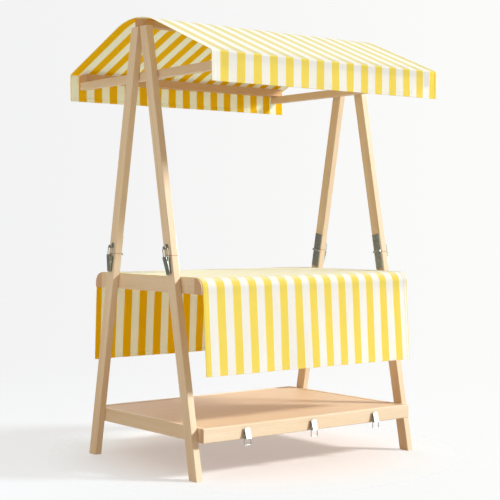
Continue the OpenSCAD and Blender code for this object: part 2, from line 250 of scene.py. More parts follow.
def planed_timber(name, turn, pith, staves=None, cut_z=None, age_and_painted_shade=0.0):
    """Timber whose grain lies along X once Object space is turned.

    Rings are a saw wave of (distance from the pith + slow noise) / pitch, where the pith is a line along the
    grain outside the timber, at these distances from both middle planes. Fibres are noise stretched along
    the grain, and end grain shows where the surface faces along the grain. staves is the width of the glued
    strips of a board, cut_z the height of a saw cut with darker edges, and the last argument a share of
    darker tone: age on the boards and cross pieces, painted shade on the timber under the roof."""
    material, pen = new_finish(name)
    place = pen.node("ShaderNodeTexCoord", out="Object")
    facing = pen.node("ShaderNodeTexCoord", out="Normal")
    laid = pen.node("ShaderNodeMapping", {"Vector": place, "Rotation": turn})
    faced = pen.node("ShaderNodeMapping", {"Vector": facing, "Rotation": turn}, vector_type="VECTOR")
    _, across, deep = laid.split()
    off_across = abs(across) - pith[0]
    off_deep = abs(deep) - pith[1]
    from_pith = (off_across * off_across + off_deep * off_deep).math("SQRT")
    depth = from_pith + laid.times(WANDER_BUMPS).noise(1.0) * RING_WANDER
    tone = laid.times(TONE_BUMPS).noise(2.0)
    ring_pitch = RING_PITCH
    ring_share = RING_SHARE
    if staves:
        stave = {"W": (across / staves).math("FLOOR")}
        strip = pen.node("ShaderNodeTexWhiteNoise", stave, noise_dimensions="1D")
        depth = depth + strip * STRIP_SHIFT
        tone = tone * 0.4 + strip * 0.3 + 0.34
        ring_pitch = BOARD_RING_PITCH
        ring_share = BOARD_RING_SHARE
    saw = (depth / ring_pitch) % 1.0
    late = saw.rise(*LATE_GROWTH) * (1.0 - saw.rise(*WINTER_STOP))
    strong = laid.times(FAINT_BUMPS).noise(1.0).rise(*FAINT_RANGE)
    late = late * (FAINT_RING + (1.0 - FAINT_RING) * strong)
    fibre = laid.times(FIBRE_BUMPS).noise(3.0, 0.6)
    fleck = laid.times(FLECK_BUMPS).noise(1.0).rise(*FLECK_RANGE)
    ends = abs(faced.split()[0]).rise(*END_FACING)
    # the darker share is age on boards and cross pieces, and painted shade on the timber under the roof
    early_pale = between(PALE_WOOD, LATE_WOOD, age_and_painted_shade)
    early_warm = between(WARM_WOOD, LATE_WOOD, age_and_painted_shade)
    colour = tone.rise(*TONE_RANGE).mix(early_pale, early_warm)
    colour = (late * ring_share).mix(colour, between(LATE_WOOD, FIBRE_WOOD, age_and_painted_shade))
    colour = (fibre.rise(*FIBRE_RANGE) * FIBRE_SHARE + fleck * FLECK_SHARE).mix(colour, FIBRE_WOOD)
    colour = (ends * END_SHARE).mix(colour, END_WOOD)
    if cut_z:
        line = 1.0 - abs(place.split()[2] - cut_z).rise(*CUT_EDGE)
        colour = (line * CUT_SHARE).mix(colour, FIBRE_WOOD)
    height = late * 0.5 + fibre * 0.7
    relief = pen.node("ShaderNodeBump", {"Height": height, "Strength": 0.25, "Distance": 0.0006})
    rough = 0.46 + fibre * 0.16 + ends * 0.12
    close_finish(pen, {"Base Color": colour, "Roughness": rough, "Normal": relief,
                       "Specular IOR Level": 0.35})
    return material


print("timber pattern ready, leg cut at", round(LEG_CUT_Z, 4), "m")

# %% [markdown]
# One pattern serves every piece, because only the grain's direction, the place of the pith and the darker
# share differ: age on boards and cross pieces, painted shade on the timber under the roof. A leg leans, so
# space is first tipped back by the lean, and then turned to lay upright along X.

# %% Timber of each kind of piece
LENGTHWISE = (0.0, 0.0, 0.0)
CROSSWISE = (0.0, 0.0, -QUARTER)
LONG_PITH = (0.385, 0.800)
CROSS_PITH = (0.560, 0.780)
BOARD_PITH = (0.700, 0.050)
LEG_PITH = (0.385, 0.590)
STAVE_W = 0.092
# painted shade: the beam and rails under the roof are darkened, standing for the shadow under the roof
ROOF_PAINTED_SHADE = 0.85
CROSS_AGE = 0.12
BOARD_AGE = 0.56

long_timber = planed_timber("timber_along_stall", LENGTHWISE, LONG_PITH)
roof_timber = planed_timber("timber_under_roof", LENGTHWISE, LONG_PITH, age_and_painted_shade=ROOF_PAINTED_SHADE)
cross_timber = planed_timber("timber_across_stall", CROSSWISE, CROSS_PITH, age_and_painted_shade=CROSS_AGE)
board_timber = planed_timber("timber_board", LENGTHWISE, BOARD_PITH, staves=STAVE_W, age_and_painted_shade=BOARD_AGE)
front_leg_timber = planed_timber("timber_front_leg", (LEG_LEAN, QUARTER, 0.0), LEG_PITH, cut_z=LEG_CUT_Z)
back_leg_timber = planed_timber("timber_back_leg", (-LEG_LEAN, QUARTER, 0.0), LEG_PITH, cut_z=LEG_CUT_Z)
print("timber finishes made")

# %% [markdown]
# ## Zinc plated steel
# Hinges and latches are pressed steel with a thin zinc plating: a cool grey metal, a little cloudy, with fine
# rubbing marks. A plain metal shader looks like chrome, so its tint follows a cloudy noise and the grains of
# the plating, and its roughness follows the clouds and the rubbing marks.

# %% Metal finish
ZINC_LIGHT = paint(196, 199, 192)
ZINC_DARK = paint(146, 151, 144)
CLOUD_BUMPS = (70.0, 70.0, 70.0)
RUB_BUMPS = (900.0, 900.0, 60.0)
GRAINS_A_METRE = 330.0
CLOUD_SHARE = 0.6


def zinc_plate(name):
    """Metal whose tint is 0.6 of cloudy noise + 0.4 of a tone for each grain of the plating.

    Its roughness is a base value + shares of the clouds and of noise that is long up and down."""
    material, pen = new_finish(name)
    place = pen.node("ShaderNodeTexCoord", out="Object")
    cloud = place.times(CLOUD_BUMPS).noise(3.0, 0.6)
    rub = place.times(RUB_BUMPS).noise(2.0)
    cells = {"Vector": place, "Scale": GRAINS_A_METRE}
    grain = pen.node("ShaderNodeTexVoronoi", cells, out="Color").split()[0]
    tint = cloud.rise(*TONE_RANGE) * CLOUD_SHARE + grain * (1.0 - CLOUD_SHARE)
    rough = 0.26 + cloud * 0.16 + rub * 0.12
    relief = pen.node("ShaderNodeBump", {"Height": rub + cloud, "Strength": 0.12, "Distance": 0.0003})
    close_finish(pen, {"Base Color": tint.mix(ZINC_DARK, ZINC_LIGHT), "Metallic": 1.0, "Roughness": rough,
                       "Normal": relief})
    return material


zinc = zinc_plate("zinc_plated_steel")
print("metal finish made")

# %% [markdown]
# ## Striped canvas
# Both cloths are stiff cotton canvas with woven stripes of yellow and white, so the stripes show on both
# sides. Where the cloth faces up its yellow is painted paler, a painted sheen; its inner side is painted in
# deeper, yellower colours as painted shade, and some light glows through. An image would blur the stripes'
# edges, so they are worked out on a map of the flat cloth in metres: x along the stall and s from the middle
# to the hem, negative at the front. Stripes are bands of x, and the weave is a product of two waves. The back
# slope of the roof is a panel of its own, with its stripes half a pitch further on.

# %% Cloth finish
THREAD_PITCH = 0.0009
STRIPE_EDGE = 0.0007
WHITE_YARN = paint(248, 250, 252)
YELLOW_YARN = paint(250, 236, 114)
WHITE_SHADE = paint(214, 210, 198)
YELLOW_SHADE = paint(206, 156, 30)
# painted sheen: paler yellows for cloth that faces up, standing for the light that washes over it
ROOF_PAINTED_SHEEN = paint(230, 237, 196)
COUNTER_PAINTED_SHEEN = paint(246, 253, 206)
PAINTED_SHEEN_SHARE = 0.9
FACES_UP = (0.5, 0.95)
# painted shade: the inner face gets deeper, yellower copies of the yarn colours, for the warm shade under the
# cloths
WHITE_PAINTED_SHADE_INSIDE = paint(250, 254, 234)
YELLOW_PAINTED_SHADE_INSIDE = paint(230, 206, 48)
WHITE_GLOW = paint(253, 255, 245)
YELLOW_GLOW = paint(252, 222, 44)
GLOW_SHARE = 0.30
INNER_GLOW_SHARE = 0.70
SLUB_BUMPS = (700.0, 18.0, 1.0)
SLUB_RANGE = (0.35, 0.75)
SLUB_SHARE = 0.06
PATCH_BUMPS = (5.0, 4.0, 1.0)
PATCH_SHARE = 0.05


def striped_canvas(name, first_edge, pitch, sheen_yellow, back_panel=0.0):
    """Canvas with yellow bands half a pitch wide, the first of which starts at first_edge.

    With t = (x - first_edge) / pitch, yellow is where t is within a quarter of the middle of its band. From
    s = 0 to back_panel, a panel is sewn in with its bands half a pitch further on. The fourth argument is the
    paler yellow painted on the cloth's upper side, a painted sheen, and the cloth's own inner_side attribute
    picks the deeper colours painted inside, a painted shade, and the stronger glow inside."""
    material, pen = new_finish(name)
    flat = pen.node("ShaderNodeUVMap", uv_map="flat")
    x, s, _ = flat.split()
    turn = math.tau / THREAD_PITCH
    weave = (x * turn).math("SINE") * (s * turn).math("SINE")
    in_panel = s.math("GREATER_THAN", 0.0) * s.math("LESS_THAN", back_panel)
    bands = (x - first_edge) / pitch + in_panel * 0.5
    off_middle = abs((bands + 0.25) % 1.0 - 0.5)
    soft = STRIPE_EDGE / pitch
    yellow = 1.0 - off_middle.rise(0.25 - soft, 0.25 + soft)
    slub = flat.times(SLUB_BUMPS).noise(2.0)
    patch = flat.times(PATCH_BUMPS).noise(2.0)
    shade = slub.rise(*SLUB_RANGE) * SLUB_SHARE + patch.rise(*TONE_RANGE) * PATCH_SHARE
    upward = pen.node("ShaderNodeTexCoord", out="Normal").split()[2]
    inner = pen.node("ShaderNodeAttribute", attribute_name="inner_side", out="Fac")
    # painted sheen: the yellow is painted paler where the outer face looks up
    sheen_painted_yellow = (upward.rise(*FACES_UP) * PAINTED_SHEEN_SHARE).mix(YELLOW_YARN, sheen_yellow)
    # painted shade: the inner face takes its own deeper colours
    colour = inner.mix(yellow.mix(WHITE_YARN, sheen_painted_yellow), yellow.mix(WHITE_PAINTED_SHADE_INSIDE, YELLOW_PAINTED_SHADE_INSIDE))
    colour = shade.mix(colour, yellow.mix(WHITE_SHADE, YELLOW_SHADE))
    height = weave * 0.5 + slub
    relief = pen.node("ShaderNodeBump", {"Height": height, "Strength": 0.06, "Distance": 0.0004})
    front = pen.node("ShaderNodeBsdfPrincipled", {"Base Color": colour, "Roughness": 0.86, "Normal": relief,
                                                  "Specular IOR Level": 0.08})
    white_glow = pen.node("ShaderNodeBsdfTranslucent", {"Color": WHITE_GLOW, "Normal": relief})
    yellow_glow = pen.node("ShaderNodeBsdfTranslucent", {"Color": YELLOW_GLOW, "Normal": relief})
    glow = pen.node("ShaderNodeMixShader", {0: yellow, 1: white_glow, 2: yellow_glow})
    share = GLOW_SHARE + inner * (INNER_GLOW_SHARE - GLOW_SHARE)
    both = pen.node("ShaderNodeMixShader", {0: share, 1: front, 2: glow})
    pen.node("ShaderNodeOutputMaterial", {"Surface": both})
    return material


ROOF_FIRST_BAND = -0.640
ROOF_BAND_PITCH = 0.09103
ROOF_PANEL = 0.640
COUNTER_FIRST_BAND = -0.551
COUNTER_BAND_PITCH = 0.0902

roof_canvas = striped_canvas("roof_canvas", ROOF_FIRST_BAND, ROOF_BAND_PITCH, ROOF_PAINTED_SHEEN, ROOF_PANEL)
counter_canvas = striped_canvas("counter_canvas", COUNTER_FIRST_BAND, COUNTER_BAND_PITCH, COUNTER_PAINTED_SHEEN)
print("cloth finishes made")

# %% [markdown]
# ## Sewing thread
# Hems are sewn with a thick cotton thread. It is less than a millimetre across, so a slight change of tone
# from stitch to stitch is all the detail that it needs.

# %% Thread finish
THREAD_PALE = paint(248, 243, 226)
THREAD_CREAM = paint(236, 226, 198)
STITCH_BUMPS = (160.0, 160.0, 160.0)
STITCH_RANGE = (0.35, 0.65)


def sewing_thread(name):
    """Cream thread whose tone follows a noise with bumps a little longer than a stitch."""
    material, pen = new_finish(name)
    place = pen.node("ShaderNodeTexCoord", out="Object")
    tone = place.times(STITCH_BUMPS).noise(1.0)
    colour = tone.rise(*STITCH_RANGE).mix(THREAD_PALE, THREAD_CREAM)
    close_finish(pen, {"Base Color": colour, "Roughness": 0.8})
    return material


thread = sewing_thread("sewing_thread")
print("thread finish made")

# %% [markdown]
# ## Timber and metal from the model
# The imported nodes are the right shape, so each keeps its mesh and only changes its material. Machined edges
# are never knife sharp, so a small bevel, made after the loose triangles are welded, lets them catch the
# light.

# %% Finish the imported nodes
TIMBER_EASE = 0.0008
METAL_EASE = 0.0003
WELD_REACH = 1e-5
SHARP = math.radians(35)


def dress(names, material, ease):
    """Gives nodes their material and rounds their sharp edges by ease."""
    for name in names:
        node = nodes[name]
        node.material_slots[0].material = material
        weld = node.modifiers.new("weld", "WELD")
        weld.merge_threshold = WELD_REACH
        bevel = node.modifiers.new("ease", "BEVEL")
        bevel.width = ease
        bevel.segments = 2
        bevel.limit_method = "ANGLE"
        bevel.angle_limit = SHARP
    print(material.name, "on", len(names), "nodes")


ENDS = ("left", "right")
ROWS = ("front", "back")
HALVES = ("lower", "upper")
LEG_LATCHES = [f"{row}_{end}" for row in ROWS for end in ENDS]
TRAY_LATCHES = ["tray_left", "tray_middle", "tray_right"]

dress([f"front_{end}_{half}_leg" for end in ENDS for half in HALVES], front_leg_timber, TIMBER_EASE)
dress([f"back_{end}_{half}_leg" for end in ENDS for half in HALVES], back_leg_timber, TIMBER_EASE)
dress(["ridge_beam"] + [f"{row}_eave_rail" for row in ROWS], roof_timber, TIMBER_EASE)
dress([f"{part}_{row}_rail" for part in ("counter", "tray") for row in ROWS], long_timber, TIMBER_EASE)
dress([f"{end}_{part}" for end in ENDS for part in ("crossbar", "counter_end")], cross_timber, TIMBER_EASE)
dress([f"tray_{end}_rail" for end in ENDS] + ["tray_battens"], cross_timber, TIMBER_EASE)
dress(["counter_board", "tray_deck"], board_timber, TIMBER_EASE)
dress([f"{end}_hinges" for end in ENDS] + ["leg_latch_plates", "tray_latch_plates"], zinc, METAL_EASE)
dress([f"{latch}_{part}" for latch in LEG_LATCHES + TRAY_LATCHES for part in ("lever", "loop")], zinc,
      METAL_EASE)

# %% [markdown]
# ## Meshes from arrays
# Every new piece is points and faces worked out as whole arrays. A grid gives quads between neighbours, a
# turned profile gives a screw head, and a stamp repeats one small shape at many places at once.

# %% Mesh helpers
def new_piece(name, points, faces, material, slot, flat=None):
    """A smooth mesh object at the origin that rides on the root; flat is a map with one place per point."""
    mesh = bpy.data.meshes.new(name)
    mesh.from_pydata(points.tolist(), [], faces)
    if flat is not None:
        corners = np.empty(len(mesh.loops), np.int32)
        mesh.loops.foreach_get("vertex_index", corners)
        mesh.uv_layers.new(name="flat").data.foreach_set("uv", flat[corners].astype(np.float32).ravel())
    mesh.shade_smooth()
    mesh.materials.append(material)
    piece = placed(name, mesh)
    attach(piece, "root")
    print(name, "has", len(mesh.vertices), "points and", len(mesh.polygons), "faces")
    return piece


def grid_quads(index):
    """Quads between neighbours in a grid of point numbers, wound along the first axis, then the second."""
    around = (index[:-1, :-1], index[1:, :-1], index[1:, 1:], index[:-1, 1:])
    return np.stack(around, axis=-1).reshape(-1, 4)


def turned(profile, sides):
    """A profile of (radius, height) turned about the upright axis; its first and last points are poles."""
    angle = np.arange(sides) * math.tau / sides
    rings = np.array(profile[1:-1])
    x = rings[:, :1] * np.cos(angle)
    y = rings[:, :1] * np.sin(angle)
    z = np.repeat(rings[:, 1:], sides, axis=1)
    body = np.stack([x, y, z], axis=-1).reshape(-1, 3)
    poles = np.array([[0.0, 0.0, profile[0][1]], [0.0, 0.0, profile[-1][1]]])
    index = np.arange(len(body)).reshape(len(rings), sides)
    index = np.concatenate([index, index[:, :1]], axis=1)
    first = np.full(sides, len(body))
    last = first + 1
    low = np.stack([index[0, 1:], index[0, :-1], first], axis=-1)
    high = np.stack([index[-1, :-1], index[-1, 1:], last], axis=-1)
    faces = grid_quads(index.T).tolist() + low.tolist() + high.tolist()
    return np.concatenate([body, poles]), faces


def stamp(shape, faces, origins, axes):
    """Copies of a shape: point = origin + x * axis 0 + y * axis 1 + z * axis 2, for all places at once."""
    points = origins[:, None, :] + np.einsum("pk,nkc->npc", shape, axes)
    shift = len(shape)
    copied = [[corner + copy * shift for corner in face] for copy in range(len(origins)) for face in faces]
    return points.reshape(-1, 3), copied


print("mesh helpers ready")

# %% [markdown]
# ## How a cloth hangs
# Stiff canvas bends in long easy curves: over the ridge it makes a wide crown, at the eave it turns down
# round the rail, and the rest hangs. Simulating that would blur the stripes' straight edges, so the section
# is drawn by its turning: the cloth's lean grows evenly along each bend, and the curve is the running sum of
# its direction. Towards its hem a hanging cloth isn't flat, so two slow waves are added there.

# %% Section of a draped cloth
FINE_STEPS = 4000


def half_section(top, runs):
    """Half a cloth's section, from its middle at height top to its hem, as (s, y, z, lean).

    runs lists (length, turn) of each stretch. With lean 0 when level and a quarter turn when hanging,
    dy = cos(lean) ds and dz = -sin(lean) ds."""
    ends = np.cumsum([0.0] + [length for length, _ in runs])
    leans = np.cumsum([0.0] + [turn for _, turn in runs])
    s = np.linspace(0.0, ends[-1], FINE_STEPS)
    lean = np.interp(s, ends, leans)
    middle = (lean[1:] + lean[:-1]) / 2
    step = s[1] - s[0]
    y = np.concatenate([[0.0], np.cumsum(np.cos(middle) * step)])
    z = top - np.concatenate([[0.0], np.cumsum(np.sin(middle) * step)])
    return s, y, z, lean


def draped(section, x, s):
    """Points, outward normals and tangents of a cloth at x along the stall and s from its middle."""
    reach, y, z, lean = section
    side = np.where(s < 0, -1.0, 1.0)
    tilt = np.interp(np.abs(s), reach, lean)
    point = np.stack([x, side * np.interp(np.abs(s), reach, y), np.interp(np.abs(s), reach, z)], axis=-1)
    normal = np.stack([np.zeros_like(x), side * np.sin(tilt), np.cos(tilt)], axis=-1)
    tangent = np.stack([np.zeros_like(x), np.cos(tilt), -side * np.sin(tilt)], axis=-1)
    return point, normal, tangent


def smooth(value, low, high):
    """Smooth step from 0 at low to 1 at high, on arrays."""
    t = np.clip((value - low) / (high - low), 0.0, 1.0)
    return t * t * (3 - 2 * t)


def hem_ripple(half_s, free, waves, phases):
    """A function of x and s: the ripple of the last stretch of cloth, of length free, above a hem at half_s.

    It is growth * (h1 sin(tau x / l1 + phase) + h2 sin(tau x / l2 + 2 phase)), where growth rises from 0 to 1
    over that stretch, waves holds each (h, l), and phases the phase at the front and at the back."""
    (high, long), (low, short) = waves

    def ripple(x, s):
        growth = smooth(np.abs(s), half_s - free, half_s)
        phase = np.where(s < 0, *phases)
        first = high * np.sin(math.tau * x / long + phase)
        return growth * (first + low * np.sin(math.tau * x / short + 2 * phase))

    return ripple


print("cloth section ready")

# %% [markdown]
# ## A cloth with thickness and hems
# A sheet with no thickness has a paper edge. Here the cloth is a closed shell: an outer and an inner face
# that meet in a rounded rim, about twice as thick where the hem is folded over. The lower hems are folded
# inwards, and at the ends of the cloth the outer face lies over the fold. Each point also notes which face it
# is on, because the inner face is painted in deeper, yellower colours, a painted shade, and lets more light
# through.

# %% Shell of a hemmed cloth
CLOTH_T = 0.0012
HEM_T = 0.0016
END_HEM_T = 0.0009
HEM_W = 0.020
HEM_STEP = 0.0015
RIM_R = 0.0016
CLOTH_GAP = 0.0003
STEP_X = 0.016
STEP_S = 0.0065
RIM_STATIONS = np.array([0.0, 0.0002, 0.0006, 0.0011, 0.0016, 0.004, 0.012, 0.0185, 0.0193, 0.02, 0.0215])


def stations(half, step, extra=()):
    """Places from -half to half: even steps, and closer ones at both rims."""
    even = np.linspace(-half, half, int(round(2 * half / step)) + 1)
    near = half - RIM_STATIONS
    return np.unique(np.round(np.concatenate([even, near, -near, extra]), 6))


def outer_height(x, half_x):
    """Height of the outer face over the cloth's seat: its thickness, and the fold at the cloth's ends."""
    fold = 1.0 - smooth(half_x - np.abs(x), HEM_W - HEM_STEP, HEM_W)
    return CLOTH_GAP + CLOTH_T + END_HEM_T * fold


def inner_height(s, half_s):
    """Height of the inner face, which the lower hem's fold makes lower."""
    fold = 1.0 - smooth(half_s - np.abs(s), HEM_W - HEM_STEP, HEM_W)
    return CLOTH_GAP - HEM_T * fold


def cloth_shell(name, section, half_x, ripple, bends, material, slot):
    """A closed cloth: outer and inner grids that share their rim, where thickness falls as a half circle."""
    half_s = section[0][-1]
    x, s = np.meshgrid(stations(half_x, STEP_X), stations(half_s, STEP_S, bends), indexing="ij")
    point, normal, _ = draped(section, x, s)
    rim = np.minimum(half_x - np.abs(x), half_s - np.abs(s))
    fullness = np.sqrt(np.clip(1.0 - (1.0 - np.clip(rim / RIM_R, 0.0, 1.0)) ** 2, 0.0, 1.0))
    high = outer_height(x, half_x)
    low = inner_height(s, half_s)
    middle = (high + low) / 2 + ripple(x, s)
    swell = (high - low) / 2 * fullness
    outer = point + normal * (middle + swell)[..., None]
    inner = point + normal * (middle - swell)[..., None]
    outer_index = np.arange(x.size).reshape(x.shape)
    inside = np.zeros(x.shape, bool)
    inside[1:-1, 1:-1] = True
    inner_index = outer_index.copy()
    inner_index[inside] = x.size + np.arange(inside.sum())
    faces = grid_quads(outer_index).tolist() + grid_quads(inner_index)[:, ::-1].tolist()
    points = np.concatenate([outer.reshape(-1, 3), inner[inside]])
    flat = np.stack([x, s], axis=-1)
    flat = np.concatenate([flat.reshape(-1, 2), flat[inside]])
    piece = new_piece(name, points, faces, material, slot, flat)
    inner_side = np.repeat(np.array([0.0, 1.0], np.float32), [x.size, inside.sum()])
    piece.data.attributes.new("inner_side", "FLOAT", "POINT").data.foreach_set("value", inner_side)
    return piece


print("cloth shell ready")

# %% [markdown]
# ## Stitches
# A row of stitches holds each hem, a finger's width from its edge, and two more hold the roof's back panel
# along its seams. Each stitch is a short bead that lies in the cloth, so a row is one bead stamped along a
# line on the cloth's outer face.

# %% Rows of stitches
STITCH_PITCH = 0.0046
STITCH_LEN = 0.0036
STITCH_R = 0.00045
STITCH_SIDES = 6
SEAM_IN = 0.0150
PANEL_SEAM_IN = 0.0040


def bead():
    """A stitch as a turned spindle, radius = R sqrt(1 - t ^ 4) at a share t of half its length."""
    share = np.array([-1.0, -0.75, 0.0, 0.75, 1.0])
    radius = STITCH_R * np.sqrt(1.0 - share ** 4)
    return turned(list(zip(radius, share * STITCH_LEN / 2)), STITCH_SIDES)


def stitch_rows(name, section, half_x, ripple, slot, seams=()):
    """Stitches along the two lower hems and the two ends of a cloth, and along seams at these s."""
    half_s = section[0][-1]
    along = np.arange(-half_x + SEAM_IN, half_x - SEAM_IN, STITCH_PITCH)
    down = np.arange(-half_s + SEAM_IN, half_s - SEAM_IN, STITCH_PITCH)
    lines = np.array([half_s - SEAM_IN, SEAM_IN - half_s, *seams])
    ends = np.array([half_x - SEAM_IN, SEAM_IN - half_x])
    x = np.concatenate([np.tile(along, len(lines)), np.repeat(ends, len(down))])
    s = np.concatenate([np.repeat(lines, len(along)), np.tile(down, len(ends))])
    runs_along = np.arange(len(x)) < len(lines) * len(along)
    point, normal, tangent = draped(section, x, s)
    height = outer_height(x, half_x) + ripple(x, s)
    seat = point + normal * height[:, None]
    stall = np.zeros_like(point)
    stall[:, 0] = 1.0
    run = np.where(runs_along[:, None], stall, tangent)
    axes = np.stack([np.cross(normal, run), normal, run], axis=1)
    shape, faces = bead()
    return new_piece(name, *stamp(shape, faces, seat, axes), thread, slot)


print("stitches ready")

# %% [markdown]
# ## Roof cloth
# One sheet lies over the ridge beam and both eave rails and ends in a valance at the front and back. The
# crown over the ridge is a wide arc that touches the beam's rounded edges, and the slope is the line that
# touches both the crown and the rail's rounding. The valance has a slow ripple that grows towards its hem.

# %% Section of the roof
CROWN_R = 0.450
RIDGE_ROUND = 0.012
RAIL_ROUND = 0.008

_, beam_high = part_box("ridge_beam")
_, rail_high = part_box("back_eave_rail")
roof_low, roof_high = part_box("canopy")
bend_y = beam_high.y - RIDGE_ROUND
crown_z = beam_high.z - RIDGE_ROUND - math.sqrt((CROWN_R - RIDGE_ROUND) ** 2 - bend_y ** 2)
run_y = rail_high.y - RAIL_ROUND
run_z = rail_high.z - RAIL_ROUND - crown_z
run_length = math.hypot(run_y, run_z)
roof_slope = math.asin((CROWN_R - RAIL_ROUND) / run_length) - math.atan2(run_z, run_y)
crown_length = CROWN_R * roof_slope
slope_length = math.sqrt(run_length ** 2 - (CROWN_R - RAIL_ROUND) ** 2)
eave_length = RAIL_ROUND * (QUARTER - roof_slope)
valance_length = rail_high.z - RAIL_ROUND - roof_low.z
roof_section = half_section(crown_z + CROWN_R, [
    (crown_length, roof_slope),
    (slope_length, 0.0),
    (eave_length, QUARTER - roof_slope),
    (valance_length, 0.0),
])
roof_half_x = roof_high.x
roof_half_s = roof_section[0][-1]
print("roof slope", round(math.degrees(roof_slope), 2), "degrees, half a cloth", round(roof_half_s, 4), "m")

# %% Roof cloth
EAVE_STATIONS = 9
VALANCE_FREE = 0.100
VALANCE_WAVES = ((0.0016, 0.41), (0.0010, 0.23))
VALANCE_PHASES = (0.6, 2.9)

eave_s = crown_length + slope_length + np.linspace(0.0, eave_length, EAVE_STATIONS)
roof_ripple = hem_ripple(roof_half_s, VALANCE_FREE, VALANCE_WAVES, VALANCE_PHASES)
roof_cloth = cloth_shell("roof_cloth", roof_section, roof_half_x, roof_ripple,
                         np.concatenate([eave_s, -eave_s]), roof_canvas, "canopy")
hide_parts("canopy")
roof_stitches = stitch_rows("roof_stitches", roof_section, roof_half_x, roof_ripple, "canopy",
                            seams=(PANEL_SEAM_IN, ROOF_PANEL - PANEL_SEAM_IN))
2 * roof_half_s
print("roof cloth cut", round(2 * roof_half_s, 4), "m long")

# %% [markdown]
# ## Counter cloth
# A second sheet lies on the counter and hangs down at the front and back. The counter's long edges are well
# rounded, so the cloth turns in a soft bend, then falls a little outwards to its hem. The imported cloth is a
# plain thick one, so its thickness is taken off to find how far the hem stands out.

# %% Counter cloth
COUNTER_ROUND = 0.050
PACKED_CLOTH_T = 0.0030
EDGE_STATIONS = 15
DROP_FREE = 0.36
DROP_WAVES = ((0.0030, 0.52), (0.0018, 0.29))
DROP_PHASES = (1.1, 0.2)

_, top_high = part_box("counter_back_rail")
drop_low, drop_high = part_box("counter_cloth")
bend_z = top_high.z - COUNTER_ROUND
flare = drop_high.y - top_high.y - CLOTH_GAP - PACKED_CLOTH_T
splay = math.atan2(flare, bend_z - drop_low.z)
flat_length = top_high.y - COUNTER_ROUND
edge_length = COUNTER_ROUND * (QUARTER - splay)
drop_length = (bend_z + COUNTER_ROUND * math.sin(splay) - drop_low.z) / math.cos(splay)
counter_section = half_section(top_high.z, [
    (flat_length, 0.0),
    (edge_length, QUARTER - splay),
    (drop_length, 0.0),
])
counter_half_x = drop_high.x
counter_half_s = counter_section[0][-1]
edge_s = flat_length + np.linspace(0.0, edge_length, EDGE_STATIONS)
counter_ripple = hem_ripple(counter_half_s, DROP_FREE, DROP_WAVES, DROP_PHASES)
counter_cloth = cloth_shell("counter_drape", counter_section, counter_half_x, counter_ripple,
                            np.concatenate([edge_s, -edge_s]), counter_canvas, "counter_cloth")
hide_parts("counter_cloth")
counter_stitches = stitch_rows("counter_stitches", counter_section, counter_half_x, counter_ripple,
                               "counter_cloth")
2 * counter_half_s
print("counter cloth cut", round(2 * counter_half_s, 4), "m long")

# %% [markdown]
# ## Screws
# Hinge leaves, latch plates and keepers are screwed to the legs and the tray with small cross head screws.
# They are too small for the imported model, but a metal plate without them looks glued on. One turned head with
# a pressed cross is stamped at every place.

# %% Screw head
HEAD_R = 0.0040
HEAD_H = 0.0014
HEAD_RIM = 0.0004
HEAD_SIDES = 32
CROSS_W = 0.00055
CROSS_R = 0.0024
CROSS_DEEP = 0.0009


def screw_head():
    """A low dome on a rim, height = rim + H (1 - (r / R) ^ 2.4), with a cross sunk near either arm."""
    radius = np.array([1.0, 1.0, 0.93, 0.8, 0.65, 0.55, 0.42, 0.28, 0.14]) * HEAD_R
    height = HEAD_H * (1.0 - (radius / HEAD_R) ** 2.4) + HEAD_RIM
    height[0] = 0.0
    profile = [(0.0, 0.0)] + list(zip(radius, height)) + [(0.0, HEAD_H + HEAD_RIM)]
    points, faces = turned(profile, HEAD_SIDES)
    arm = np.minimum(np.abs(points[:, 0]), np.abs(points[:, 1]))
    reach = np.hypot(points[:, 0], points[:, 1])
    sunk = (arm < CROSS_W) & (reach < CROSS_R) & (points[:, 2] > HEAD_H / 2)
    points[:, 2] -= CROSS_DEEP * sunk
    return points, faces


screw_points, screw_faces = screw_head()
print("screw head has", len(screw_points), "points")

# %% [markdown]
# A screw's place is known on its plate, so each plate gets three axes: across it, up it and out of its face.
# The plates are found from the levers' pivots in the frame, which lie a known height above the plates' seat.

# %% Screws in their plates
PIVOT_OUT = 0.012
LEAF_T = 0.0025
PLATE_T = 0.002
LEAF_SCREWS = [(x, z) for x in (-0.015, 0.015) for z in (-0.072, -0.028, 0.028, 0.072)]
LEG_PLATE_SCREWS = [(0.0, -0.028), (0.0, -0.058)]
KEEPER_SCREWS = [(0.0, 0.0600)]
TRAY_PLATE_SCREWS = [(0.0, -0.022)]
TRAY_AXES = np.array([(1.0, 0.0, 0.0), (0.0, 0.0, -1.0), (0.0, -1.0, 0.0)])


def leg_axes(side, row, out):
    """Axes of a drawing on a leg's face: across the leg, up the leg and out of the face."""
    turn = side * out
    across = (0.0, -turn * math.cos(LEG_LEAN), -turn * math.sin(row * LEG_LEAN))
    up = (0.0, -math.sin(row * LEG_LEAN), math.cos(LEG_LEAN))
    return np.array([across, up, (turn, 0.0, 0.0)])


def spots(origin, axes, places, height):
    """Origins of screws at (across, up) places on a plate of some height, each with the plate's axes."""
    grid = np.array(places)
    origins = origin + grid @ axes[:2] + height * axes[2]
    return origins, np.repeat(axes[None], len(grid), axis=0)


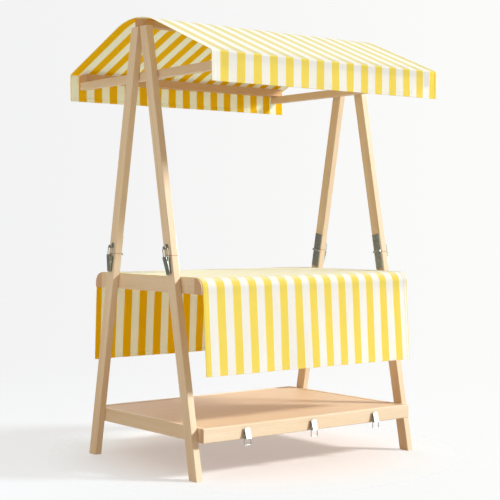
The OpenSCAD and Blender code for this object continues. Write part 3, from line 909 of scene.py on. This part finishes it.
inner_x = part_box("left_crossbar")[0].x
screw_spots = []
for side, end in zip((-1, 1), ENDS):
    for row, row_name in zip((-1, 1), ROWS):
        pivot = np.array(joints[f"{row_name}_{end}_lever_swing"]["pos_m"])
        outside = leg_axes(side, row, 1)
        face = pivot - PIVOT_OUT * outside[2]
        screw_spots.append(spots(face, outside, LEG_PLATE_SCREWS + KEEPER_SCREWS, PLATE_T))
        inside = leg_axes(side, row, -1)
        cut = face + (LEG_CUT_Z - face[2]) / math.cos(LEG_LEAN) * inside[1]
        cut[0] = side * abs(inner_x)
        screw_spots.append(spots(cut, inside, LEAF_SCREWS, LEAF_T))
for latch in TRAY_LATCHES:
    pivot = np.array(joints[f"{latch}_lever_swing"]["pos_m"])
    screw_spots.append(spots(pivot - PIVOT_OUT * TRAY_AXES[2], TRAY_AXES, TRAY_PLATE_SCREWS, PLATE_T))
screw_origins, screw_axes = (np.concatenate(part) for part in zip(*screw_spots))
new_piece("plate_screws", *stamp(screw_points, screw_faces, screw_origins, screw_axes), zinc, "zinc_steel")

# %% [markdown]
# ## Floor
# The stall stands on a studio floor without a horizon. A white sheet would show its far edge, so the floor is
# a matt sheet that is partly see-through: a third near the stall, where it takes the shadow, and almost
# wholly further off, where only the backdrop's white is left. Near the stall the sheet is tinted warmer, a
# painted warm shade for light bounced off the stall into its shadow.

# %% Floor
FLOOR_HALF = 12.0
# painted warm shade: the floor near the stall is tinted warmer, standing for light bounced off the stall
FLOOR_NEAR_PAINTED_WARM_SHADE = (0.90, 0.80, 0.75, 1.0)
FLOOR_FAR = (0.83, 0.87, 0.94, 1.0)
NEAR_CLEAR = 0.33
MIDDLE_CLEAR = 0.76
FAR_CLEAR = 0.99
TINT_CHANGE = (0.5, 1.1)
MIDDLE_CHANGE = (0.45, 1.15)
FAR_CHANGE = (1.5, 5.0)

floor_finish, pen = new_finish("studio_floor")
spot = pen.node("ShaderNodeTexCoord", out="Object")
distance = pen.node("ShaderNodeVectorMath", {0: spot}, out="Value", operation="LENGTH")
matt = pen.node("ShaderNodeBsdfDiffuse", {"Color": distance.rise(*TINT_CHANGE).mix(FLOOR_NEAR_PAINTED_WARM_SHADE, FLOOR_FAR)})
clear = pen.node("ShaderNodeBsdfTransparent", {"Color": (1.0, 1.0, 1.0, 1.0)})
see_through = NEAR_CLEAR + distance.rise(*MIDDLE_CHANGE) * (MIDDLE_CLEAR - NEAR_CLEAR)
see_through = see_through + distance.rise(*FAR_CHANGE) * (FAR_CLEAR - MIDDLE_CLEAR)
floor_mix = pen.node("ShaderNodeMixShader", {0: see_through, 1: matt, 2: clear})
pen.node("ShaderNodeOutputMaterial", {"Surface": floor_mix})
floor_corners = FLOOR_HALF * np.array([(-1, -1, 0), (1, -1, 0), (1, 1, 0), (-1, 1, 0)])
floor_mesh = bpy.data.meshes.new("floor")
floor_mesh.from_pydata(floor_corners.tolist(), [], [(0, 1, 2, 3)])
floor_mesh.materials.append(floor_finish)
floor = placed("floor", floor_mesh)
print("floor made,", 2 * FLOOR_HALF, "m wide")

# %% [markdown]
# ## Lamps
# One broad lamp from the front right gives the light side and soft shadows. A sun lamp suits it, because its
# light is even over the whole stall, and the lamp's angle sets how soft the shadows are. A tall pale card on
# the left lifts the frame's left side. It is an area lamp that neither the camera nor the metal sees.

# %% Lamps
SUN_STRENGTH = 3.98
SUN_COLOUR = (0.935, 0.985, 1.0)
SUN_SPREAD = math.radians(11)
SUN_HIGH = math.radians(32)
SUN_RIGHT = math.radians(48.5)
CARD_POWER = 11.8
CARD_COLOUR = (0.78, 0.96, 1.0)
CARD_SIZE = (1.4, 2.4)
CARD_PLACE = (-2.0, 0.15, 1.25)

sun_data = bpy.data.lights.new("key_lamp", "SUN")
sun_data.energy = SUN_STRENGTH
sun_data.angle = SUN_SPREAD
sun_data.color = SUN_COLOUR
sun = placed("key_lamp", sun_data)
sun.rotation_euler = (QUARTER - SUN_HIGH, 0.0, SUN_RIGHT)

card_data = bpy.data.lights.new("left_card", "AREA")
card_data.energy = CARD_POWER
card_data.color = CARD_COLOUR
card_data.shape = "RECTANGLE"
card_data.size, card_data.size_y = CARD_SIZE
card = placed("left_card", card_data)
card.location = CARD_PLACE
card.rotation_euler = (QUARTER, 0.0, -QUARTER)
card.visible_camera = False
card.visible_glossy = False
print("lamps made")

# %% [markdown]
# ## Room around the stall
# The rest of the light comes from the world, and differs by direction. A warm wall on the left and a pale one
# elsewhere fill the shadows, and a bright window, low behind the stall on the right, glows through the
# cloths. The camera sees a nearly white backdrop instead, and the metal mirrors a room that is darker on the
# left.

# %% World
FILL_FRONT = (0.470, 0.425, 0.355, 1.0)
FILL_LEFT = (0.390, 0.245, 0.125, 1.0)
FILL_BACK = (11.50, 11.60, 11.00, 1.0)
BACKDROP_LEFT = (0.895, 0.895, 0.897, 1.0)
BACKDROP_RIGHT = (0.965, 0.965, 0.955, 1.0)
MIRRORED_DARK = (0.27, 0.26, 0.23, 1.0)
MIRRORED_BRIGHT = (1.1, 1.08, 1.04, 1.0)
CAMERA_RIGHT = (math.cos(LOOK_RIGHT), -math.sin(LOOK_RIGHT), 0.0)
LAMP_SIDE = (0.95, -0.20, 0.25)

# Where each part of the room begins and ends, as parts of a direction of length 1
LEFT_WALL = (-0.7, -0.1)
WINDOW_BACK = (0.45, 1.0)
WINDOW_RIGHT = (-0.15, 0.25)
WINDOW_SILL = (-0.06, 0.04)
WINDOW_HEAD = (0.10, 0.45)
BACKDROP_CHANGE = (-0.2, 0.2)
MIRRORED_CHANGE = (-0.7, 0.3)

world = bpy.data.worlds.new("studio")
world.use_nodes = True
world.node_tree.nodes.clear()
pen = Wire(world.node_tree)
direction = pen.node("ShaderNodeTexCoord", out="Generated")
path = pen.node("ShaderNodeLightPath", out="Is Camera Ray")
backdrop = direction.toward(CAMERA_RIGHT).rise(*BACKDROP_CHANGE).mix(BACKDROP_LEFT, BACKDROP_RIGHT)
mirrored = direction.toward(LAMP_SIDE).rise(*MIRRORED_CHANGE).mix(MIRRORED_DARK, MIRRORED_BRIGHT)
right, back, high = direction.split()
walls = right.rise(*LEFT_WALL).mix(FILL_LEFT, FILL_FRONT)
window_tall = high.rise(*WINDOW_SILL) * (1.0 - high.rise(*WINDOW_HEAD))
window = back.rise(*WINDOW_BACK) * right.rise(*WINDOW_RIGHT) * window_tall
fill = pen.node("ShaderNodeBackground", {"Color": window.mix(walls, FILL_BACK), "Strength": 1.0})
white = pen.node("ShaderNodeBackground", {"Color": backdrop, "Strength": 1.0})
room = pen.node("ShaderNodeBackground", {"Color": mirrored, "Strength": 1.0})
unseen = pen.node("ShaderNodeMixShader", {0: path.also("Is Glossy Ray"), 1: fill, 2: room})
surround = pen.node("ShaderNodeMixShader", {0: path, 1: unseen, 2: white})
pen.node("ShaderNodeOutputWorld", {"Surface": surround})
bpy.context.scene.world = world
bpy.context.scene.view_settings.view_transform = "Standard"
print("world made")

# %% [markdown]
# ## End
# The dressed stall has to keep to the box of the imported model.

# %% Finish
print("scene built")
